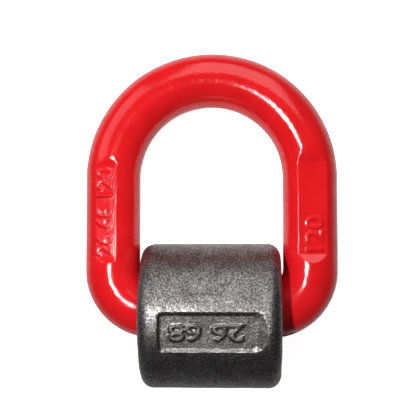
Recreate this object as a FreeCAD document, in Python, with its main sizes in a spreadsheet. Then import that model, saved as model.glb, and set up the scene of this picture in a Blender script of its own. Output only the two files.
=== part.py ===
"""Weld-on lifting ring: a forged load ring whose straight bar turns in a forged saddle.

Frame: the origin is the middle of the saddle's weld base, +Z points away from the plate that
the saddle is welded to, X runs along the ring's straight bar, and the ring lies along +Y.
The ring swings about the bar, from lying on +Y to lying on -Y. All sizes are in millimetres.

Three pieces, each in a body of its own:
  load_ring         D-shaped ring of round bar, with two flats for raised figures
  weld_saddle       U-shaped block that straps the ring's bar to the plate
  retaining_spring  strip of spring steel in the saddle's tunnel, which holds the bar
"""

import FreeCAD, Part

import math
import os

import Sketcher

V = FreeCAD.Vector
PARTS = "parts"

# Every driving size, written once: alias, value, what it is.
DRIVING = [
    ("bar_diameter", 26.0, "round bar of the ring"),
    ("ring_inner_width", 68.0, "clear width between the ring's limbs"),
    ("crown_reach", 63.0, "bar axis to the centre of the crown's arc"),
    ("bend_inner_radius", 6.5, "inside of the ring's two lower bends"),
    ("base_gap", 1.0, "bar to the plate that the saddle is welded to"),
    ("tunnel_clearance", 1.0, "bar to the wall of the saddle's tunnel"),
    ("side_play", 1.2, "saddle to each limb of the ring"),
    ("saddle_wall", 20.0, "mean wall of the saddle over the tunnel"),
    ("saddle_setback", 2.4, "bar axis to the middle of the saddle"),
    ("flank_draft", 3.0, "forging draft of the saddle's flanks, degrees"),
    ("weld_bevel", 6.0, "weld preparation along each foot, leg length"),
    ("saddle_edge_radius", 6.0, "outer edges of the saddle's side faces"),
    ("saddle_label_length", 49.0, "sunk panel on the saddle, along the bar"),
    ("saddle_label_height", 18.4, "sunk panel on the saddle, round the crest"),
    ("saddle_label_corner", 2.0, "corners of the sunk panel"),
    ("saddle_label_depth", 0.8, "depth of the sunk panel at its long edges"),
    ("saddle_label_angle", 10.0, "panel's middle from the top of the crest, degrees"),
    ("label_start", 22.5, "bar axis to the near end of both ring flats"),
    ("left_label_length", 47.5, "flat on the ring's left limb"),
    ("left_label_depth", 1.3, "cut into the bar, left flat"),
    ("left_label_tilt", 6.0, "left flat leans outwards, degrees"),
    ("left_label_inner", 3.5, "middle of the left limb to the wall inside its flat"),
    ("right_label_length", 51.0, "flat on the ring's right limb"),
    ("right_label_depth", 1.9, "cut into the bar, right flat"),
    ("right_label_tilt", 3.0, "right flat leans outwards, degrees"),
    ("spring_thickness", 1.0, "strip of the retaining spring"),
    ("spring_width", 16.0, "retaining spring, along the bar"),
    ("spring_running_clearance", 0.05, "spring to the bar that turns in it"),
    ("spring_wrap", 25.0, "spring reaches this far below the bar axis, degrees"),
    ("spring_lip", 3.0, "outward lip at each end of the spring"),
    ("groove_clearance", 0.35, "spring to its groove in the saddle"),
]

# What follows from them, each as a formula of the sheet's own aliases.
DERIVED = [
    ("bar_radius", "bar_diameter / 2"),
    ("crown_radius", "ring_inner_width / 2 + bar_radius"),
    ("bend_radius", "bend_inner_radius + bar_radius"),
    ("bar_height", "bar_radius + base_gap"),
    ("tunnel_radius", "bar_radius + tunnel_clearance"),
    ("crest_radius", "tunnel_radius + saddle_wall"),
    ("saddle_width", "ring_inner_width - 2 * side_play"),
    ("mouth_radius", "bend_inner_radius - side_play"),
    ("label_floor", "sqrt(crest_radius ^ 2 - saddle_label_height ^ 2 / 4) - saddle_label_depth"),
    ("spring_bore", "bar_radius + spring_running_clearance"),
    ("spring_outside", "spring_bore + spring_thickness"),
    ("lip_drop", "spring_bore * sin(spring_wrap * 1deg)"),
    ("lip_root", "spring_bore * cos(spring_wrap * 1deg)"),
    ("lip_end", "spring_outside * cos(spring_wrap * 1deg) + spring_lip"),
    ("groove_radius", "spring_outside + groove_clearance"),
    ("groove_width", "spring_width + 2 * groove_clearance"),
]


def make_sheet(doc):
    """The spreadsheet of sizes: name, value and meaning in columns A, B and C."""
    sheet = doc.addObject("Spreadsheet::Sheet", "sizes")
    row = 1
    for alias, value, meaning in DRIVING:
        sheet.set(f"A{row}", alias)
        sheet.set(f"B{row}", str(value))
        sheet.set(f"C{row}", meaning)
        sheet.setAlias(f"B{row}", alias)
        row += 1
    doc.recompute()
    for alias, formula in DERIVED:
        sheet.set(f"A{row}", alias)
        sheet.set(f"B{row}", f"={formula}")
        sheet.setAlias(f"B{row}", alias)
        doc.recompute()
        row += 1
    return sheet


class Sizes:
    """Reads the sheet, so that a sketch is drawn at its final size before it is bound."""

    def __init__(self, sheet):
        self.sheet = sheet

    def __getattr__(self, alias):
        return float(self.sheet.get(alias))


def origin_plane(body, role):
    """The body's own XY, XZ or YZ plane."""
    return next(o for o in body.Origin.OriginFeatures if o.Role == role)


def new_body(doc, name):
    body = doc.addObject("PartDesign::Body", name)
    body.Label = name
    return body


def new_sketch(body, name, role):
    sketch = body.newObject("Sketcher::SketchObject", name)
    sketch.AttachmentSupport = [(origin_plane(body, role), "")]
    sketch.MapMode = "FlatFace"
    return sketch


def bind(sketch, constraint, name, formula):
    """Adds a dimension to a sketch, names it and ties it to the sheet."""
    index = sketch.addConstraint(constraint)
    sketch.renameConstraint(index, name)
    sketch.setExpression(f"Constraints.{name}", formula)


def of(alias):
    """An alias as an expression sees it."""
    return f"<<sizes>>.{alias}"


def add_pad(doc, body, name, sketch, length):
    """Pads a sketch by a formula, half to each side of its plane."""
    pad = body.newObject("PartDesign::Pad", name)
    pad.Profile = sketch
    pad.setExpression("Length", length)
    pad.Midplane = True
    doc.recompute()
    return pad


def cut_pocket(doc, body, name, sketch, length, **settings):
    """Cuts a sketch out of the body by a formula, and checks that material went."""
    before = body.Shape.Volume
    pocket = body.newObject("PartDesign::Pocket", name)
    pocket.Profile = sketch
    pocket.setExpression("Length", length)
    for setting, value in settings.items():
        setattr(pocket, setting, value)
    doc.recompute()
    if pocket.Shape.Volume > before - 1.0:
        raise RuntimeError(f"{name} cut nothing")
    return pocket


def fillet_edges(doc, body, name, base, test, radius):
    """Rounds the edges of base for which test(edge) is true."""
    chosen = [f"Edge{i + 1}" for i, edge in enumerate(base.Shape.Edges) if test(edge)]
    if not chosen:
        raise RuntimeError(f"{name} found no edge")
    rounded = body.newObject("PartDesign::Fillet", name)
    rounded.Base = (base, chosen)
    rounded.setExpression("Radius", radius)
    doc.recompute()
    return rounded


def rectangle(sketch, box, formulas):
    """Upright rectangle (x0, x1, y0, y1); each side is tied to its own formula."""
    x0, x1, y0, y1 = box
    corners = [V(x0, y0, 0), V(x1, y0, 0), V(x1, y1, 0), V(x0, y1, 0)]
    first = sketch.GeometryCount
    sides = [Part.LineSegment(corners[i], corners[(i + 1) % 4]) for i in range(4)]
    sketch.addGeometry(sides, False)
    for i in range(4):
        following = first + (i + 1) % 4
        sketch.addConstraint(Sketcher.Constraint("Coincident", first + i, 2, following, 1))
        kind = "Horizontal" if i % 2 == 0 else "Vertical"
        sketch.addConstraint(Sketcher.Constraint(kind, first + i))
    places = [("DistanceX", first, x0), ("DistanceX", first + 2, x1)]
    places += [("DistanceY", first, y0), ("DistanceY", first + 2, y1)]
    names = ["x_low", "x_high", "y_low", "y_high"]
    for (kind, side, value), name, formula in zip(places, names, formulas):
        constraint = Sketcher.Constraint(kind, -1, 1, side, 1, value)
        bind(sketch, constraint, f"{name}_{first}", formula)


def place_on_bar_axis(body):
    """Moves a body that is drawn about its own origin to the bar's axis."""
    body.setExpression("Placement.Base.y", of("saddle_setback"))
    body.setExpression("Placement.Base.z", of("bar_height"))


def round_section(body, name, size):
    """Circle of the ring's bar, where the straight bar meets the left bend."""
    sketch = new_sketch(body, name, "YZ_Plane")
    sketch.addGeometry(Part.Circle(V(0, 0, 0), V(0, 0, 1), size.bar_radius))
    sketch.addConstraint(Sketcher.Constraint("Coincident", 0, 3, -1, 1))
    bind(sketch, Sketcher.Constraint("Radius", 0, size.bar_radius), "bar_size", of("bar_radius"))
    sketch.setExpression(
        "AttachmentOffset.Base.z", f"-({of('crown_radius')} - {of('bend_radius')})"
    )
    return sketch


def ring_centreline(body, name, size):
    """Closed line of the ring: bar, bend, limb, crown, limb, bend."""
    sketch = new_sketch(body, name, "XY_Plane")
    crown, bend, reach = size.crown_radius, size.bend_radius, size.crown_reach
    half_bar = crown - bend
    z = V(0, 0, 1)
    quarter = math.pi / 2

    def arc(centre, radius, start, end):
        return Part.ArcOfCircle(Part.Circle(centre, z, radius), start, end)

    sketch.addGeometry(
        [
            Part.LineSegment(V(-half_bar, 0, 0), V(half_bar, 0, 0)),
            arc(V(half_bar, bend, 0), bend, -quarter, 0),
            Part.LineSegment(V(crown, bend, 0), V(crown, reach, 0)),
            arc(V(0, reach, 0), crown, 0, math.pi),
            Part.LineSegment(V(-crown, reach, 0), V(-crown, bend, 0)),
            arc(V(-half_bar, bend, 0), bend, math.pi, 3 * quarter),
        ],
        False,
    )
    joins = [(0, 2, 1, 1), (1, 2, 2, 1), (2, 2, 3, 1), (3, 2, 4, 1), (4, 2, 5, 1), (5, 2, 0, 1)]
    for join in joins:
        sketch.addConstraint(Sketcher.Constraint("Tangent", *join))
    sketch.addConstraint(Sketcher.Constraint("Horizontal", 0))
    sketch.addConstraint(Sketcher.Constraint("PointOnObject", 0, 1, -1))
    sketch.addConstraint(Sketcher.Constraint("PointOnObject", 3, 3, -2))
    sketch.addConstraint(Sketcher.Constraint("Equal", 1, 5))
    bind(sketch, Sketcher.Constraint("Radius", 1, bend), "bend", of("bend_radius"))
    bind(sketch, Sketcher.Constraint("Radius", 3, crown), "crown", of("crown_radius"))
    bind(
        sketch,
        Sketcher.Constraint("DistanceY", -1, 1, 3, 3, reach),
        "reach",
        of("crown_reach"),
    )
    return sketch


def ring_flat(doc, body, size, side, sign, inner):
    """Flat for raised figures on one limb: what stands above its plane is cut away.

    It runs out on the limb's outer side; inner names its reach towards the ring's inside.
    """
    tilt = f"{of(f'{side}_label_tilt')} * 1deg"
    depth = of(f"{side}_label_depth")
    level = f"({of('bar_radius')} - {depth})"
    length = getattr(size, f"{side}_label_length")
    sketch = new_sketch(body, f"{side}_flat_outline", "XY_Plane")
    across_flat = sorted([(sign * size.bar_radius, "bar_radius"), (-sign * getattr(size, inner), inner)])
    (left, left_alias), (right, right_alias) = across_flat
    rectangle(
        sketch,
        (left, right, size.label_start, size.label_start + length),
        [
            f"-{of(left_alias)}",
            of(right_alias),
            of("label_start"),
            f"{of('label_start')} + {of(f'{side}_label_length')}",
        ],
    )
    sketch.AttachmentOffset = FreeCAD.Placement(V(), FreeCAD.Rotation(V(0, 1, 0), sign))
    across = f"{sign} * ({of('crown_radius')} + {level} * sin({tilt}))"
    sketch.setExpression("AttachmentOffset.Rotation.Angle", tilt)
    sketch.setExpression("AttachmentOffset.Base.x", across)
    sketch.setExpression("AttachmentOffset.Base.z", f"{level} * cos({tilt})")
    doc.recompute()
    cut_pocket(doc, body, f"{side}_flat", sketch, f"2 * {depth}", Reversed=True)


def make_load_ring(doc, size):
    """Forged D-shaped ring, drawn flat with its straight bar's axis through the origin."""
    body = new_body(doc, "load_ring")
    centreline = ring_centreline(body, "ring_centreline", size)
    section = round_section(body, "bar_section", size)
    doc.recompute()
    bar = body.newObject("PartDesign::AdditivePipe", "ring_bar")
    bar.Profile = section
    bar.Spine = (centreline, [])
    doc.recompute()
    ring_flat(doc, body, size, "left", -1, "left_label_inner")
    ring_flat(doc, body, size, "right", 1, "bar_radius")
    place_on_bar_axis(body)
    return body


def saddle_profile(body, name, size):
    """Section across the bar: two feet, drafted flanks, round crest and the open tunnel."""
    sketch = new_sketch(body, name, "YZ_Plane")
    draft = math.radians(size.flank_draft)
    crest, tunnel, height = size.crest_radius, size.tunnel_radius, size.bar_height
    bevel, axis = size.weld_bevel, size.saddle_setback
    shoulder = V(crest * math.cos(draft), height + crest * math.sin(draft), 0)
    heel = V(shoulder.x + (shoulder.y - bevel) * math.tan(draft), bevel, 0)
    toe = V(heel.x - bevel, 0, 0)
    z = V(0, 0, 1)

    def mirrored(p):
        return V(-p.x, p.y, 0)

    crest_circle = Part.Circle(V(0, height, 0), z, crest)
    tunnel_circle = Part.Circle(V(axis, height, 0), z, tunnel)
    sketch.addGeometry(
        [
            Part.LineSegment(V(axis + tunnel, 0, 0), toe),
            Part.LineSegment(toe, heel),
            Part.LineSegment(heel, shoulder),
            Part.ArcOfCircle(crest_circle, draft, math.pi - draft),
            Part.LineSegment(mirrored(shoulder), mirrored(heel)),
            Part.LineSegment(mirrored(heel), mirrored(toe)),
            Part.LineSegment(mirrored(toe), V(axis - tunnel, 0, 0)),
            Part.LineSegment(V(axis - tunnel, 0, 0), V(axis - tunnel, height, 0)),
            Part.ArcOfCircle(tunnel_circle, 0, math.pi),
            Part.LineSegment(V(axis + tunnel, height, 0), V(axis + tunnel, 0, 0)),
        ],
        False,
    )
    add = sketch.addConstraint
    corners = [(0, 2, 1, 1), (1, 2, 2, 1), (4, 2, 5, 1), (5, 2, 6, 1), (6, 2, 7, 1), (9, 2, 0, 1)]
    for corner in corners:
        add(Sketcher.Constraint("Coincident", *corner))
    for join in [(2, 2, 3, 1), (3, 2, 4, 1), (7, 2, 8, 2), (8, 1, 9, 1)]:
        add(Sketcher.Constraint("Tangent", *join))
    add(Sketcher.Constraint("PointOnObject", 0, 1, -1))
    add(Sketcher.Constraint("PointOnObject", 3, 3, -2))
    for kind, line in [("Horizontal", 0), ("Horizontal", 6), ("Vertical", 7), ("Vertical", 9)]:
        add(Sketcher.Constraint(kind, line))
    add(Sketcher.Constraint("Horizontal", 3, 3, 8, 3))
    add(Sketcher.Constraint("Symmetric", 1, 1, 5, 2, -2))
    add(Sketcher.Constraint("Symmetric", 1, 2, 5, 1, -2))
    leans = math.pi / 2 + draft
    sizes = [
        (("DistanceY", -1, 1, 3, 3, height), "bar_level", of("bar_height")),
        (("DistanceX", -1, 1, 8, 3, axis), "setback", of("saddle_setback")),
        (("Radius", 3, crest), "crest", of("crest_radius")),
        (("Radius", 8, tunnel), "tunnel", of("tunnel_radius")),
        (("DistanceY", 1, 1, 1, 2, bevel), "bevel_height", of("weld_bevel")),
        (("DistanceX", 1, 1, 1, 2, bevel), "bevel_width", of("weld_bevel")),
        (("Angle", -1, 1, 2, 1, leans), "flank", f"(90 + {of('flank_draft')}) * 1deg"),
    ]
    for constraint, name, formula in sizes:
        bind(sketch, Sketcher.Constraint(*constraint), name, formula)
    return sketch


def saddle_label(doc, body, size):
    """Sunk flat panel for raised figures, on the shoulder that faces away from the ring."""
    sketch = new_sketch(body, "label_outline", "XY_Plane")
    half_length, half_height = size.saddle_label_length / 2, size.saddle_label_height / 2
    rectangle(
        sketch,
        (-half_length, half_length, -half_height, half_height),
        [
            f"-{of('saddle_label_length')} / 2",
            f"{of('saddle_label_length')} / 2",
            f"-{of('saddle_label_height')} / 2",
            f"{of('saddle_label_height')} / 2",
        ],
    )
    turn = f"{of('saddle_label_angle')} * 1deg"
    floor = of("label_floor")
    sketch.AttachmentOffset = FreeCAD.Placement(V(), FreeCAD.Rotation(V(1, 0, 0), 1.0))
    sketch.setExpression("AttachmentOffset.Rotation.Angle", turn)
    sketch.setExpression("AttachmentOffset.Base.y", f"-{floor} * sin({turn})")
    sketch.setExpression("AttachmentOffset.Base.z", f"{of('bar_height')} + {floor} * cos({turn})")
    doc.recompute()
    panel = cut_pocket(doc, body, "label_panel", sketch, of("saddle_wall"), Reversed=True)
    upward = math.radians(size.saddle_label_angle)
    normal = V(0, -math.sin(upward), math.cos(upward))

    def panel_corner(edge):
        """One of the four short edges that stand on the panel's floor at its corners."""
        ends = [vertex.Point for vertex in edge.Vertexes]
        if len(ends) != 2:
            return False
        at_end = all(abs(abs(p.x) - half_length) < 1e-4 for p in ends)
        return at_end and abs(abs((ends[1] - ends[0]).dot(normal)) / edge.Length - 1) < 1e-4

    corner = of("saddle_label_corner")
    return fillet_edges(doc, body, "label_corners", panel, panel_corner, corner)


def spring_groove(doc, body, size):
    """Groove round the tunnel for the spring, and a notch in each wall for its lips."""
    axis, height = size.saddle_setback, size.bar_height
    groove = new_sketch(body, "groove_profile", "YZ_Plane")
    groove.addGeometry(Part.Circle(V(axis, height, 0), V(0, 0, 1), size.groove_radius))
    sizes = [
        (("Radius", 0, size.groove_radius), "groove", of("groove_radius")),
        (("DistanceX", -1, 1, 0, 3, axis), "setback", of("saddle_setback")),
        (("DistanceY", -1, 1, 0, 3, height), "bar_level", of("bar_height")),
    ]
    for constraint, name, formula in sizes:
        bind(groove, Sketcher.Constraint(*constraint), name, formula)
    doc.recompute()
    width, gap = of("groove_width"), of("groove_clearance")
    cut_pocket(doc, body, "spring_groove", groove, width, Midplane=True)
    reach = size.lip_end + size.groove_clearance
    top = height - size.lip_drop + size.groove_clearance
    bottom = height - size.lip_drop - size.spring_thickness - size.groove_clearance
    under = f"{of('bar_height')} - {of('lip_drop')}"
    notch = new_sketch(body, "notch_profile", "YZ_Plane")
    rectangle(
        notch,
        (axis - reach, axis + reach, bottom, top),
        [
            f"{of('saddle_setback')} - {of('lip_end')} - {gap}",
            f"{of('saddle_setback')} + {of('lip_end')} + {gap}",
            f"{under} - {of('spring_thickness')} - {gap}",
            f"{under} + {gap}",
        ],
    )
    doc.recompute()
    cut_pocket(doc, body, "lip_notches", notch, width, Midplane=True)


def make_weld_saddle(doc, size):
    """Forged saddle: a thick strap over the ring's bar, on two feet that are welded down."""
    body = new_body(doc, "weld_saddle")
    profile = saddle_profile(body, "saddle_profile", size)
    doc.recompute()
    block = add_pad(doc, body, "saddle_block", profile, of("saddle_width"))
    half_width = size.saddle_width / 2

    def on_side_face(edge):
        box = edge.BoundBox
        return box.XLength < 1e-6 and abs(abs(box.XMin) - half_width) < 1e-6

    def off_axis(edge):
        return max(abs(vertex.Y - size.saddle_setback) for vertex in edge.Vertexes)

    def outer(edge):
        above_heel = min(vertex.Z for vertex in edge.Vertexes) > size.weld_bevel - 1e-3
        return on_side_face(edge) and above_heel and off_axis(edge) > size.tunnel_radius + 1e-3

    def mouth(edge):
        return on_side_face(edge) and off_axis(edge) < size.tunnel_radius + 1e-3

    edge_radius, mouth_radius = of("saddle_edge_radius"), of("mouth_radius")
    rounded = fillet_edges(doc, body, "outer_edges", block, outer, edge_radius)
    fillet_edges(doc, body, "tunnel_mouths", rounded, mouth, mouth_radius)
    saddle_label(doc, body, size)
    spring_groove(doc, body, size)
    return body


def make_retaining_spring(doc, size):
    """Spring strip round the bar: it grips more than half of it and ends in two lips."""
    body = new_body(doc, "retaining_spring")
    band = new_sketch(body, "band_profile", "YZ_Plane")
    wrap = math.radians(size.spring_wrap)
    bore, outside = size.spring_bore, size.spring_outside
    z = V(0, 0, 1)
    ends = [(-wrap, 1), (math.pi + wrap, 2)]

    def at(radius, angle):
        return V(radius * math.cos(angle), radius * math.sin(angle), 0)

    band.addGeometry(
        [Part.ArcOfCircle(Part.Circle(V(), z, r), -wrap, math.pi + wrap) for r in (bore, outside)]
        + [Part.LineSegment(at(bore, angle), at(outside, angle)) for angle, _ in ends],
        False,
    )
    for line, (_, point) in enumerate(ends, start=2):
        band.addConstraint(Sketcher.Constraint("Coincident", line, 1, 0, point))
        band.addConstraint(Sketcher.Constraint("Coincident", line, 2, 1, point))
        band.addConstraint(Sketcher.Constraint("PointOnObject", -1, 1, line))
    band.addConstraint(Sketcher.Constraint("Coincident", 0, 3, -1, 1))
    band.addConstraint(Sketcher.Constraint("Coincident", 1, 3, -1, 1))
    band.addConstraint(Sketcher.Constraint("Symmetric", 0, 1, 0, 2, -2))
    bind(band, Sketcher.Constraint("Radius", 0, bore), "bore", of("spring_bore"))
    bind(band, Sketcher.Constraint("Radius", 1, outside), "outside", of("spring_outside"))
    drop = Sketcher.Constraint("DistanceY", 0, 1, -1, 1, size.lip_drop)
    bind(band, drop, "drop", of("lip_drop"))
    doc.recompute()
    add_pad(doc, body, "band", band, of("spring_width"))

    low, high = -size.lip_drop - size.spring_thickness, -size.lip_drop
    vertical = [f"-{of('lip_drop')} - {of('spring_thickness')}", f"-{of('lip_drop')}"]
    lips = new_sketch(body, "lip_profile", "YZ_Plane")
    near, far = of("lip_root"), of("lip_end")
    rectangle(lips, (size.lip_root, size.lip_end, low, high), [near, far] + vertical)
    back = [f"-{far}", f"-{near}"] + vertical
    rectangle(lips, (-size.lip_end, -size.lip_root, low, high), back)
    doc.recompute()
    add_pad(doc, body, "lips", lips, of("spring_width"))
    place_on_bar_axis(body)
    return body


def main():
    doc = FreeCAD.newDocument("weld_on_lifting_ring")
    size = Sizes(make_sheet(doc))
    makers = [make_load_ring, make_weld_saddle, make_retaining_spring]
    bodies = [make(doc, size) for make in makers]
    doc.recompute()
    for obj in doc.Objects:
        if "Invalid" in obj.State or "Error" in obj.State:
            raise RuntimeError(f"{obj.Name} failed: {obj.State}")
    os.makedirs(PARTS, exist_ok=True)
    for body in bodies:
        shape = body.Shape
        if shape.isNull() or not shape.isValid() or len(shape.Solids) != 1:
            raise RuntimeError(f"{body.Label} is not one valid solid")
        shape.exportStep(os.path.join(PARTS, f"{body.Label}.step"))
        print(f"{body.Label}: {shape.Volume:.0f} mm3, {shape.BoundBox}")


main()
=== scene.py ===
"""Looks of the weld-on lifting ring.

The ring and the saddle are modelled anew as forgings, with their sunk labels and raised
figures, and the spring keeps its CAD shape. Everything is in metres, in the CAD's own frame:
+Z out of the weld plate, X along the ring's bar, +Y the side on which the ring lies.
"""

from math import cos, pi, radians, sin, tan

import bmesh
import bpy
from mathutils import Matrix, Vector


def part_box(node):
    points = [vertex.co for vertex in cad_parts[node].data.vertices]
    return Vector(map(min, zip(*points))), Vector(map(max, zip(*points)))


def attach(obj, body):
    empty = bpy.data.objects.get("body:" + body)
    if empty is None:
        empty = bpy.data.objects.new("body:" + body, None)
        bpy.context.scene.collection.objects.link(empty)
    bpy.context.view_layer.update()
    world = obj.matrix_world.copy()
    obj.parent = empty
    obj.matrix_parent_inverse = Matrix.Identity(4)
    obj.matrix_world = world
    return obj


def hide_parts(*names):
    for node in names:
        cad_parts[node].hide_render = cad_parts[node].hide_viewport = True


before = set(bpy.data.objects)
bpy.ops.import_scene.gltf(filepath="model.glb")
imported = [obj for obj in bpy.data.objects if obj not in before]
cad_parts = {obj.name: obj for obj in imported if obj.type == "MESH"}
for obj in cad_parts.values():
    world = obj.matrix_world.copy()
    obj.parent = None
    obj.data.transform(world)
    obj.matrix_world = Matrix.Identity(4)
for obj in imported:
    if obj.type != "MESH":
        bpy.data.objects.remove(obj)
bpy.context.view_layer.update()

MM = 0.001

# Places and sizes that the frame gives.
RING_LOW, RING_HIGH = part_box("load_ring")
SADDLE_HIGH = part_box("weld_saddle")[1]
BAR_R = (RING_HIGH[2] - RING_LOW[2]) / 2
AXIS_Y = RING_LOW[1] + BAR_R
AXIS_Z = RING_LOW[2] + BAR_R
CROWN_R = RING_HIGH[0] - BAR_R
CROWN_Y = RING_HIGH[1] - CROWN_R - BAR_R
SADDLE_HALF = SADDLE_HIGH[0]
CREST_R = SADDLE_HIGH[2] - AXIS_Z

# Sizes that the frame does not give: they repeat the CAD's.
BEND_R = 19.5 * MM
TUNNEL_R = 14 * MM
FLANK_DRAFT = radians(3)
WELD_BEVEL = 6 * MM
SIDE_ROUND = 6 * MM
MOUTH_ROUND = 5.3 * MM
LABEL_START = 22.5 * MM
PANEL_TURN = radians(10)
SPRING_STRIP = 1 * MM
SPRING_GAP = 0.35 * MM

# Raised figures: how high they stand, and how far a surface may be lifted onto them.
LIFT = 0.8 * MM
LIFT_LIMIT = 1.3 * LIFT


# ---- small helpers ---------------------------------------------------------------------


def deselect_all():
    if bpy.context.object and bpy.context.object.mode != "OBJECT":
        bpy.ops.object.mode_set(mode="OBJECT")
    bpy.ops.object.select_all(action="DESELECT")


def only(obj):
    """Makes one object the only selected one and the active one."""
    deselect_all()
    obj.select_set(True)
    bpy.context.view_layer.objects.active = obj


def pick(test, kind="verts"):
    """In edit mode, selects just the vertices, edges or faces for which test() is true."""
    mesh = bpy.context.object.data
    work = bmesh.from_edit_mesh(mesh)
    for group in (work.verts, work.edges, work.faces):
        for item in group:
            item.select = False
    wanted = [item for item in getattr(work, kind) if test(item)]
    for item in wanted:
        item.select = True
    modes = {"verts": {"VERT"}, "edges": {"EDGE"}, "faces": {"FACE"}}
    work.select_mode = modes[kind]
    if kind == "verts":
        work.select_flush(True)
    else:
        work.select_flush_mode()
    bmesh.update_edit_mesh(mesh)
    if not wanted:
        raise RuntimeError(f"nothing to pick in {bpy.context.object.name}")


def edit_mode():
    bpy.ops.object.mode_set(mode="EDIT")
    bpy.ops.mesh.select_mode(type="VERT")


def object_mode():
    bpy.ops.object.mode_set(mode="OBJECT")


def apply_place(obj):
    """Puts an object's place, turn and scale into its mesh."""
    only(obj)
    bpy.ops.object.transform_apply(location=True, rotation=True, scale=True)


def apply_all(obj):
    """Applies every modifier of a piece, from the top down."""
    only(obj)
    for modifier in list(obj.modifiers):
        bpy.ops.object.modifier_apply(modifier=modifier.name)


def tidy_normals():
    """In edit mode: merges doubles and turns all faces outwards."""
    bpy.ops.mesh.select_all(action="SELECT")
    bpy.ops.mesh.remove_doubles(threshold=1e-6)
    bpy.ops.mesh.normals_make_consistent(inside=False)


def mark(obj, name, test):
    """Puts the vertices for which test(co) is true in a new vertex group."""
    group = obj.vertex_groups.new(name=name)
    group.add([v.index for v in obj.data.vertices if test(v.co)], 1.0, "REPLACE")


# ---- dies for the sunk labels ----------------------------------------------------------


def figure_tops(words, height, across, weight, turn, middle, lift):
    """Flat figures for a label, turned and centred on middle, lying at z = lift."""
    bpy.ops.object.text_add(location=(0, 0, 0))
    text = bpy.context.object
    text.data.body = words
    text.data.size = height
    text.data.offset = weight * height
    bpy.ops.object.convert(target="MESH")
    figures = bpy.context.object
    corners = [Vector(c) for c in figures.bound_box]
    low = Vector(min(c[i] for c in corners) for i in range(3))
    high = Vector(max(c[i] for c in corners) for i in range(3))
    centre = (low + high) / 2
    figures.scale = (across / (high.x - low.x), height / (high.y - low.y), 1)
    figures.location = (-centre.x * figures.scale.x, -centre.y * figures.scale.y, 0)
    apply_place(figures)
    figures.rotation_euler = (0, 0, turn)
    figures.location = (*middle, lift)
    apply_place(figures)
    return figures


def tray(x_span, y_span, runs, height, corners=()):
    """Open tray: a floor at z = 0 and walls of one height whose runs are given for the -X, +X,
    -Y and +Y sides. Each corner is (side, width, segments) for the two corners on that side."""
    (left, right), (low, high) = x_span, y_span
    bpy.ops.mesh.primitive_plane_add(size=1, location=((left + right) / 2, (low + high) / 2, 0))
    obj = bpy.context.object
    obj.scale = (right - left, high - low, 1)
    apply_place(obj)
    edit_mode()
    for side, width, segments in corners:
        at = right if side > 0 else left
        pick(lambda v: abs(v.co.x - at) < 1e-7)
        bpy.ops.mesh.bevel(offset=width, segments=segments, affect="VERTICES")
    bpy.ops.mesh.select_mode(type="EDGE")
    pick(lambda e: e.is_boundary, "edges")
    bpy.ops.mesh.extrude_region_move(TRANSFORM_OT_translate={"value": (0, 0, height)})
    to_left, to_right, to_low, to_high = runs
    grow_x = 1 + (to_left + to_right) / (right - left)
    grow_y = 1 + (to_low + to_high) / (high - low)
    fixed_x = left + to_left / (grow_x - 1)
    fixed_y = low + to_low / (grow_y - 1)
    bpy.ops.transform.resize(value=(grow_x, grow_y, 1), center_override=(fixed_x, fixed_y, 0))
    object_mode()
    return obj


def press(obj, group, die, place, limit=0.0):
    """Presses a patch of a piece down onto a die; with a limit, raises it onto the die instead."""
    die.matrix_world = place
    apply_place(die)
    shrink = obj.modifiers.new("press", "SHRINKWRAP")
    shrink.target = die
    shrink.wrap_method = "PROJECT"
    shrink.use_project_z = True
    shrink.use_negative_direction = not limit
    shrink.use_positive_direction = bool(limit)
    shrink.project_limit = limit
    shrink.vertex_group = group
    apply_all(obj)
    bpy.data.objects.remove(die, do_unlink=True)


def soften(obj, group, times):
    """Rounds off what was pressed in, as a forging's edges are."""
    smooth = obj.modifiers.new("soften", "SMOOTH")
    smooth.factor = 0.5
    smooth.iterations = times
    smooth.vertex_group = group
    apply_all(obj)


def uneven(obj, group, wave, detail, depth):
    """Sinks a surface a little, here and there, as a forging's is."""
    clouds = bpy.data.textures.new(f"{obj.name}_unevenness", "CLOUDS")
    clouds.noise_scale = wave
    clouds.noise_depth = detail
    bumps = obj.modifiers.new("uneven", "DISPLACE")
    bumps.texture = clouds
    bumps.texture_coords = "GLOBAL"
    bumps.mid_level = 1.0
    bumps.strength = depth
    bumps.vertex_group = group
    apply_all(obj)


# ---- the ring --------------------------------------------------------------------------

SECTION_POINTS = 320
SPARSE = 5
DENSE_TOP = radians(42)
FINE_STEP = 0.28 * MM
# Steps of the sweep. The crown is fine next to the limbs' flats and coarser between.
BAR_CUTS, BEND_STEPS, CROWN_STEPS = 12, 26, 110
CROWN_LEAD = radians(15)
# Each flat: side, length, depth into the bar, outward lean, and how far it reaches inwards
# from the limb's middle.
LEFT_FLAT = (-1, 47.5 * MM, 1.4 * MM, radians(6), 3.5 * MM)
RIGHT_FLAT = (1, 51 * MM, 1.9 * MM, radians(3), BAR_R)
NEAR_SLOPE = radians(25)
FAR_SLOPE = radians(16)


def ring_section():
    """Circle of the bar in the YZ plane at x = 0, fine on top and coarser elsewhere."""
    bpy.ops.mesh.primitive_circle_add(
        vertices=SECTION_POINTS,
        radius=BAR_R,
        location=(0, AXIS_Y, AXIS_Z),
        rotation=(0, pi / 2, 0),
    )
    ring = bpy.context.object
    ring.name = "forged_ring"
    apply_place(ring)
    edit_mode()
    low_top = AXIS_Z + BAR_R * cos(DENSE_TOP)
    step = 2 * pi / SECTION_POINTS

    def spare(v):
        turn = Vector((v.co.y - AXIS_Y, v.co.z - AXIS_Z)).angle_signed(Vector((0, -1)))
        return v.co.z < low_top and round(turn / step) % SPARSE != 0

    pick(spare)
    bpy.ops.mesh.dissolve_verts()
    return ring


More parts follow.
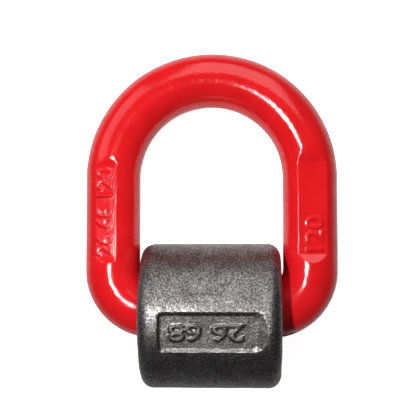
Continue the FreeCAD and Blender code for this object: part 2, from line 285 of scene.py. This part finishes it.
def sweep_ring():
    """Sweeps the bar's section once round the D: bar, bend, limb, crown, limb, bend, bar."""
    ring = ring_section()
    half_bar = CROWN_R - BEND_R
    limb_low, limb_high = AXIS_Y + BEND_R, CROWN_Y
    limb = limb_high - limb_low
    limb_cuts = round(limb / FINE_STEP)
    near = 1e-6

    def end_loop(axis, at, side):
        pick(lambda v: abs(v.co[axis] - at) < near and v.co.x * side > -near)

    def straight(axis, at, run, cuts):
        """Extends the open end by run along one axis, and cuts the new stretch across."""
        vector = [0, 0, 0]
        vector[axis] = run
        bpy.ops.mesh.extrude_region_move(TRANSFORM_OT_translate={"value": vector})
        low, high = sorted((at, at + run))

        def is_new(edge):
            a, b = sorted(v.co[axis] for v in edge.verts)
            return abs(a - low) < near and abs(b - high) < near

        pick(is_new, "edges")
        bpy.ops.mesh.subdivide(number_cuts=cuts)

    def turn(angle, steps, x, y):
        bpy.ops.mesh.spin(steps=steps, angle=angle, center=(x, y, 0), axis=(0, 0, -1))

    lead_steps = round(CROWN_LEAD * CROWN_R / FINE_STEP)
    crown = [
        (CROWN_LEAD, lead_steps),
        (pi - 2 * CROWN_LEAD, CROWN_STEPS),
        (CROWN_LEAD, lead_steps),
    ]
    bpy.ops.mesh.select_all(action="SELECT")
    straight(0, 0, half_bar, BAR_CUTS)
    end_loop(0, half_bar, 1)
    turn(pi / 2, BEND_STEPS, half_bar, limb_low)
    end_loop(1, limb_low, 1)
    straight(1, limb_low, limb, limb_cuts)
    end_loop(1, limb_high, 1)
    for angle, steps in crown:
        turn(angle, steps, 0, CROWN_Y)
    end_loop(1, limb_high, -1)
    straight(1, limb_high, -limb, limb_cuts)
    end_loop(1, limb_low, -1)
    turn(pi / 2, BEND_STEPS, -half_bar, limb_low)
    end_loop(0, -half_bar, -1)
    straight(0, -half_bar, half_bar, BAR_CUTS)
    tidy_normals()
    object_mode()
    return ring


def ring_label(ring, flat, words, across, middle):
    """Flat with raised figures on one limb, sloping up to the bar's surface at both ends.

    The figures' tops point towards -X and they read along +Y; middle is their middle's
    place, from the limb's middle and from the flat's middle.
    """
    side, length, depth, lean, inner = flat
    height = 3 * MM
    end = length / 2 - depth / tan(NEAR_SLOPE)
    x_span = (-BAR_R, inner) if side < 0 else (-inner, BAR_R)
    ends = (height / tan(NEAR_SLOPE), height / tan(FAR_SLOPE))
    floor = tray(x_span, (-end, end), (1 * MM, 1 * MM, *ends), height)
    figures = figure_tops(words, 8.2 * MM, across, 0.02, pi / 2, middle, LIFT)
    place = (
        Matrix.Translation((side * CROWN_R, AXIS_Y + LABEL_START + length / 2, AXIS_Z))
        @ Matrix.Rotation(side * lean, 4, "Y")
        @ Matrix.Translation((0, 0, BAR_R - depth))
    )
    press(ring, "patch", floor, place)
    press(ring, "patch", figures, place, LIFT_LIMIT)


def make_ring():
    """The forged ring with its two labels."""
    ring = sweep_ring()
    fine_low = AXIS_Z + BAR_R * cos(DENSE_TOP)
    patch_start, patch_end = AXIS_Y + 20 * MM, AXIS_Y + LABEL_START + 58 * MM
    far_start = AXIS_Y + 67 * MM
    skin_start = AXIS_Y + 16 * MM

    def on_patch(co):
        return co.z > fine_low and patch_start < co.y < patch_end and abs(co.x) > 30 * MM

    mark(ring, "patch", on_patch)
    ring_label(ring, LEFT_FLAT, "26 68 120", 41 * MM, (-1.6 * MM, 0))
    ring_label(ring, RIGHT_FLAT, "120", 16.5 * MM, (0.8 * MM, -12 * MM))
    soften(ring, "patch", 2)
    mark(ring, "far_ends", lambda co: on_patch(co) and co.y > far_start)
    soften(ring, "far_ends", 25)
    mark(ring, "skin", lambda co: co.y > skin_start)
    uneven(ring, "skin", 14 * MM, 1, 0.16 * MM)
    return finish_piece(ring, "ring", "load_ring")


def finish_piece(obj, body, node):
    """Smooth shading, clean groups, the piece's body, and its CAD node hidden."""
    only(obj)
    bpy.ops.object.shade_smooth_by_angle(angle=radians(40))
    obj.vertex_groups.clear()
    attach(obj, body)
    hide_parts(node)
    return obj


# ---- the saddle ------------------------------------------------------------------------

PANEL_HALF_Y = 9.2 * MM
PANEL_DEPTH = 0.8 * MM
PANEL_SHIFT = -0.5 * MM
PANEL_FINE = 0.26 * MM
# The panel's floor, the runs of its walls (-X, +X, -Y, +Y) and its corners.
FLOOR_X = (-22.2 * MM, 21 * MM)
FLOOR_Y = (1.8 * MM - PANEL_HALF_Y, PANEL_HALF_Y - 1.7 * MM)
WALL_RUNS = (2 * MM, 13 * MM, 10.6 * MM, 10 * MM)
WALL_HEIGHT = 5 * MM
FLOOR_CORNERS = [(1, 1.5 * MM, 1), (-1, 1.5 * MM, 3)]
# The strap is cut into fine steps over the panel and into coarse ones elsewhere.
FINE_FROM, FINE_TO = radians(72), radians(124)
COARSE = 1.3 * MM
FOOT_STEPS = 7
# Past this distance from the bar axis the saddle's skin is uneven.
SKIN_R = 19 * MM


def saddle_section():
    """Section of the strap where it stands level with the bar axis, on the +Y side."""
    outer, inner = CREST_R, TUNNEL_R
    bpy.ops.mesh.primitive_plane_add(size=2, location=(0, (outer + inner) / 2, AXIS_Z))
    saddle = bpy.context.object
    saddle.name = "forged_saddle"
    saddle.scale = (SADDLE_HALF, (outer - inner) / 2, 1)
    apply_place(saddle)
    edit_mode()
    for y, radius, segments in [(outer, SIDE_ROUND, 12), (inner, MOUTH_ROUND, 8)]:
        pick(lambda v: abs(v.co.y - y) < 1e-6)
        bpy.ops.mesh.bevel(offset=radius, segments=segments, affect="VERTICES")
    bpy.ops.mesh.select_all(action="SELECT")
    bpy.ops.mesh.delete(type="ONLY_FACE")
    width = 2 * (SADDLE_HALF - SIDE_ROUND)
    cuts = [(outer, round(width / PANEL_FINE)), (inner, 16)]
    for y, count in cuts:
        pick(lambda e: all(abs(v.co.y - y) < 1e-6 for v in e.verts), "edges")
        bpy.ops.mesh.subdivide(number_cuts=count)
    pick(lambda e: abs(e.verts[0].co.x - e.verts[1].co.x) < 1e-7 and e.calc_length() > 2 * MM, "edges")
    bpy.ops.mesh.subdivide(number_cuts=8)
    return saddle


def sweep_saddle():
    """Sweeps the strap over the crest and down to both feet, and cuts the weld bevels."""
    saddle = saddle_section()
    bpy.ops.mesh.select_all(action="SELECT")
    for angle, step in [
        (FINE_FROM, COARSE),
        (FINE_TO - FINE_FROM, PANEL_FINE),
        (pi - FINE_TO, COARSE),
    ]:
        steps = round(angle * CREST_R / step)
        bpy.ops.mesh.spin(steps=steps, angle=angle, center=(0, 0, AXIS_Z), axis=(-1, 0, 0))
    drop = AXIS_Z / FOOT_STEPS
    for side in (1, -1):
        level = AXIS_Z
        for _ in range(FOOT_STEPS):
            pick(lambda v: abs(v.co.z - level) < 1e-6 and v.co.y * side > 0)
            bpy.ops.mesh.extrude_region_move(TRANSFORM_OT_translate={"value": (0, 0, -drop)})
            level -= drop
            pick(lambda v: abs(v.co.z - level) < 1e-6 and v.co.y * side > CREST_R - SIDE_ROUND)
            widen = side * drop * tan(FLANK_DRAFT)
            bpy.ops.transform.translate(value=(0, widen, 0))
        pick(lambda v: abs(v.co.z) < 1e-6 and v.co.y * side > 0)
        bpy.ops.mesh.edge_face_add()
    tidy_normals()

    def tunnel_side(v):
        height = max(v.co.z - AXIS_Z, 0)
        return Vector((v.co.y, height)).length < TUNNEL_R + MOUTH_ROUND + 1e-5

    pick(tunnel_side)
    bpy.ops.transform.translate(value=(0, AXIS_Y, 0))
    heel = SADDLE_HIGH[1]
    for side in (1, -1):
        bpy.ops.mesh.select_all(action="SELECT")
        bpy.ops.mesh.bisect(
            plane_co=(0, side * heel, WELD_BEVEL),
            plane_no=(0, side, -1),
            use_fill=True,
            clear_outer=True,
        )
    tidy_normals()
    object_mode()
    return saddle


def cut_spring_groove(saddle):
    """Groove round the tunnel and the two notches that hold the spring's lips."""
    low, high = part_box("retaining_spring")
    width = high[0] - low[0] + 2 * SPRING_GAP
    bpy.ops.mesh.primitive_cylinder_add(
        vertices=128,
        radius=high[2] - AXIS_Z + SPRING_GAP,
        depth=width,
        location=(0, AXIS_Y, AXIS_Z),
        rotation=(0, pi / 2, 0),
    )
    groove = bpy.context.object
    apply_place(groove)
    bpy.ops.mesh.primitive_cube_add(size=1, location=(0, AXIS_Y, low[2] + SPRING_STRIP / 2))
    notch = bpy.context.object
    notch.scale = (width, high[1] - low[1] + 2 * SPRING_GAP, SPRING_STRIP + 2 * SPRING_GAP)
    apply_place(notch)
    for cutter in (groove, notch):
        cut = saddle.modifiers.new("cut", "BOOLEAN")
        cut.operation = "DIFFERENCE"
        cut.solver = "EXACT"
        cut.object = cutter
        apply_all(saddle)
        bpy.data.objects.remove(cutter, do_unlink=True)


def make_saddle():
    """The forged saddle with its sunk panel and raised figures."""
    saddle = sweep_saddle()

    def on_panel(co):
        return co.z > AXIS_Z + 20 * MM and abs(co.x) < SADDLE_HALF - 2 * MM

    mark(saddle, "patch", on_panel)
    floor = tray(FLOOR_X, FLOOR_Y, WALL_RUNS, WALL_HEIGHT, FLOOR_CORNERS)
    figures = figure_tops("26 68", 8.3 * MM, 34 * MM, 0.03, pi, (-1.2 * MM, -0.2 * MM), LIFT)
    level = (CREST_R**2 - PANEL_HALF_Y**2) ** 0.5 - PANEL_DEPTH
    place = (
        Matrix.Translation((0, 0, AXIS_Z))
        @ Matrix.Rotation(PANEL_TURN, 4, "X")
        @ Matrix.Translation((0, PANEL_SHIFT, level))
    )
    press(saddle, "patch", floor, place)
    press(saddle, "patch", figures, place, LIFT_LIMIT)
    soften(saddle, "patch", 2)

    def outside(co):
        reach = Vector((co.y - AXIS_Y, max(co.z - AXIS_Z, 0))).length
        return reach > SKIN_R and co.z > 1e-5

    mark(saddle, "skin", outside)
    uneven(saddle, "skin", 9 * MM, 3, 0.35 * MM)
    cut_spring_groove(saddle)
    return finish_piece(saddle, "saddle", "weld_saddle")


# ---- materials -------------------------------------------------------------------------


class Shader:
    """A material under construction: its nodes, and short ways to add and join them."""

    def __init__(self, name):
        self.material = bpy.data.materials.new(name)
        self.material.use_nodes = True
        self.nodes = self.material.node_tree.nodes
        self.links = self.material.node_tree.links
        self.surface = self.nodes["Principled BSDF"]
        self.place = self.nodes.new("ShaderNodeTexCoord").outputs["Object"]

    def set(self, **values):
        for name, value in values.items():
            self.surface.inputs[name.replace("_", " ")].default_value = value

    def join(self, output, name):
        self.links.new(output, self.surface.inputs[name])

    def noise(self, scale, detail, roughness=0.5):
        node = self.nodes.new("ShaderNodeTexNoise")
        node.inputs["Scale"].default_value = scale
        node.inputs["Detail"].default_value = detail
        node.inputs["Roughness"].default_value = roughness
        self.links.new(self.place, node.inputs["Vector"])
        return node.outputs["Fac"]

    def ramp(self, source, stops):
        """Colours or greys by position; each stop is (position, (r, g, b)) or (position, grey)."""
        node = self.nodes.new("ShaderNodeValToRGB")
        ramp = node.color_ramp
        while len(ramp.elements) < len(stops):
            ramp.elements.new(0.5)
        for element, (position, colour) in zip(ramp.elements, stops):
            element.position = position
            rgb = colour if isinstance(colour, tuple) else (colour,) * 3
            element.color = (*rgb, 1)
        self.links.new(source, node.inputs["Fac"])
        return node.outputs["Color"]

    def scaled(self, source, factor):
        node = self.nodes.new("ShaderNodeMath")
        node.operation = "MULTIPLY"
        self.links.new(source, node.inputs[0])
        node.inputs[1].default_value = factor
        return node.outputs["Value"]

    def product(self, first, second):
        """Two colours multiplied."""
        node = self.nodes.new("ShaderNodeMix")
        node.data_type = "RGBA"
        node.blend_type = "MULTIPLY"
        node.inputs["Factor"].default_value = 1.0
        self.links.new(first, node.inputs[6])
        self.links.new(second, node.inputs[7])
        return node.outputs[2]

    def bump(self, height, strength, distance, below=None):
        node = self.nodes.new("ShaderNodeBump")
        node.inputs["Strength"].default_value = strength
        node.inputs["Distance"].default_value = distance
        self.links.new(height, node.inputs["Height"])
        if below:
            self.links.new(below, node.inputs["Normal"])
        return node.outputs["Normal"]


def red_powder_coat():
    """Glossy red powder coat: fine orange peel over the forging's long waves."""
    shader = Shader("red_powder_coat")
    shader.set(Roughness=0.12, IOR=1.5)
    drift = shader.noise(90, 3)
    colour = shader.ramp(drift, [(0.3, (0.75, 0.009, 0.012)), (0.7, (0.84, 0.012, 0.017))])
    shader.join(colour, "Base Color")
    waves = shader.bump(shader.noise(480, 2), 1.0, 0.10 * MM)
    peel = shader.bump(shader.noise(1300, 3), 1.0, 0.045 * MM, waves)
    shader.join(peel, "Normal")
    return shader.material


def blasted_steel():
    """Bare forged steel, shot-blasted: coarse dark grain with bright glints."""
    shader = Shader("blasted_steel")
    shader.set(Metallic=1.0)
    grain = shader.noise(1250, 3, 0.75)
    patches = shader.noise(150, 4, 0.6)
    tones = [(0.34, (0.05, 0.048, 0.05)), (0.5, (0.2, 0.196, 0.195)), (0.66, (0.52, 0.51, 0.5))]
    tone = shader.ramp(grain, tones)
    stain = shader.ramp(patches, [(0.35, (0.7, 0.66, 0.66)), (0.65, (1.0, 1.0, 1.0))])
    shader.join(shader.product(tone, stain), "Base Color")
    shader.join(shader.ramp(grain, [(0.3, 0.5), (0.7, 0.4)]), "Roughness")
    pits = shader.bump(shader.noise(700, 3, 0.6), 1.0, 0.12 * MM)
    shader.join(shader.bump(grain, 1.0, 0.06 * MM, pits), "Normal")
    return shader.material


def spring_steel():
    """Rolled spring strip: smooth grey metal with faint rolling streaks."""
    shader = Shader("spring_strip")
    shader.set(Metallic=1.0, Roughness=0.32)
    streaks = shader.noise(500, 2)
    tone = shader.ramp(streaks, [(0.3, (0.3, 0.31, 0.33)), (0.7, (0.42, 0.43, 0.45))])
    shader.join(tone, "Base Color")
    shader.join(shader.bump(shader.noise(900, 1), 0.2, 0.05 * MM), "Normal")
    return shader.material


def pale_board():
    """White board with a painted pool of light: white near the part, fading to pale grey away from it;
    it also shows whiter than it lights.
    """
    shader = Shader("pale_board")
    shader.set(Roughness=0.9)
    # Painted pool of light: the board's colour is white round the part and darker away from it, so the
    # part mirrors a lit board close by and an unlit one beyond.
    mapping = shader.nodes.new("ShaderNodeMapping")
    mapping.inputs["Scale"].default_value = (4.2, 4.2, 4.2)
    mapping.inputs["Location"].default_value = (0, -0.36, 0)
    shader.links.new(shader.place, mapping.inputs["Vector"])
    light_pool = shader.nodes.new("ShaderNodeTexGradient")
    light_pool.gradient_type = "SPHERICAL"
    shader.links.new(mapping.outputs["Vector"], light_pool.inputs["Vector"])
    shader.join(shader.ramp(light_pool.outputs["Fac"], [(0.25, 0.18), (0.66, 0.92)]), "Base Color")
    seen = shader.nodes.new("ShaderNodeLightPath").outputs["Is Camera Ray"]
    shader.join(shader.scaled(seen, 0.95), "Emission Strength")
    shader.set(Emission_Color=(1, 1, 1, 1))
    return shader.material


def dress(obj, material):
    """One material on the whole piece."""
    obj.data.materials.clear()
    obj.data.materials.append(material)


# ---- studio ----------------------------------------------------------------------------

EYE = Vector((15, 23, 496)) * MM
LOOK_AT = Vector((-5.4, 55.0, 14)) * MM
LENS = 90.9


def make_camera():
    camera = bpy.data.objects.new("camera", bpy.data.cameras.new("camera"))
    bpy.context.collection.objects.link(camera)
    camera.data.sensor_width = 36
    camera.data.lens = LENS
    camera.data.clip_start = 0.01
    camera.location = EYE
    back = (EYE - LOOK_AT).normalized()
    right = Vector((0, 1, 0)).cross(back).normalized()
    up = back.cross(right)
    camera.matrix_world = Matrix.Translation(EYE) @ Matrix((right, up, back)).transposed().to_4x4()
    bpy.context.scene.camera = camera


def soft_light(name, azimuth, elevation, distance, size, radiance):
    """Rectangular light seen from the part in a given direction, facing the part."""
    light = bpy.data.lights.new(name, "AREA")
    light.shape = "RECTANGLE"
    light.size, light.size_y = size
    light.energy = radiance * pi * size[0] * size[1]
    lamp = bpy.data.objects.new(name, light)
    bpy.context.collection.objects.link(lamp)
    around, up = radians(azimuth), radians(elevation)
    way = Vector((cos(up) * cos(around), cos(up) * sin(around), sin(up)))
    lamp.location = Vector((0, 0.05, 0.02)) + way * distance
    lamp.rotation_euler = way.to_track_quat("Z", "Y").to_euler()


def dim_room():
    """Dark surroundings for the part's reflections, shown white to the camera."""
    world = bpy.data.worlds.new("studio")
    world.use_nodes = True
    nodes, links = world.node_tree.nodes, world.node_tree.links
    dim = nodes["Background"]
    dim.inputs["Color"].default_value = (0.9, 0.9, 0.92, 1)
    dim.inputs["Strength"].default_value = 0.06
    white = nodes.new("ShaderNodeBackground")
    white.inputs["Color"].default_value = (1, 1, 1, 1)
    choice = nodes.new("ShaderNodeMixShader")
    links.new(nodes.new("ShaderNodeLightPath").outputs["Is Camera Ray"], choice.inputs[0])
    links.new(dim.outputs[0], choice.inputs[1])
    links.new(white.outputs[0], choice.inputs[2])
    links.new(choice.outputs[0], nodes["World Output"].inputs["Surface"])
    return world


def make_studio():
    """White board, two soft boxes beyond the crown and a small bright one almost overhead."""
    bpy.ops.mesh.primitive_plane_add(size=4, location=(0, 0, 0))
    board = bpy.context.object
    board.name = "board"
    dress(board, pale_board())
    soft_light("right_box", 79, 38, 0.9, (0.7, 0.76), 2.0)
    soft_light("left_box", 146, 33, 0.9, (0.62, 0.55), 1.35)
    soft_light("top_lamp", 187, 76.5, 0.523, (0.06, 0.02), 520)
    scene = bpy.context.scene
    scene.world = dim_room()
    scene.view_settings.view_transform = "Standard"


def main():
    dress(make_ring(), red_powder_coat())
    dress(make_saddle(), blasted_steel())
    dress(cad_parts["retaining_spring"], spring_steel())
    make_studio()
    make_camera()


main()
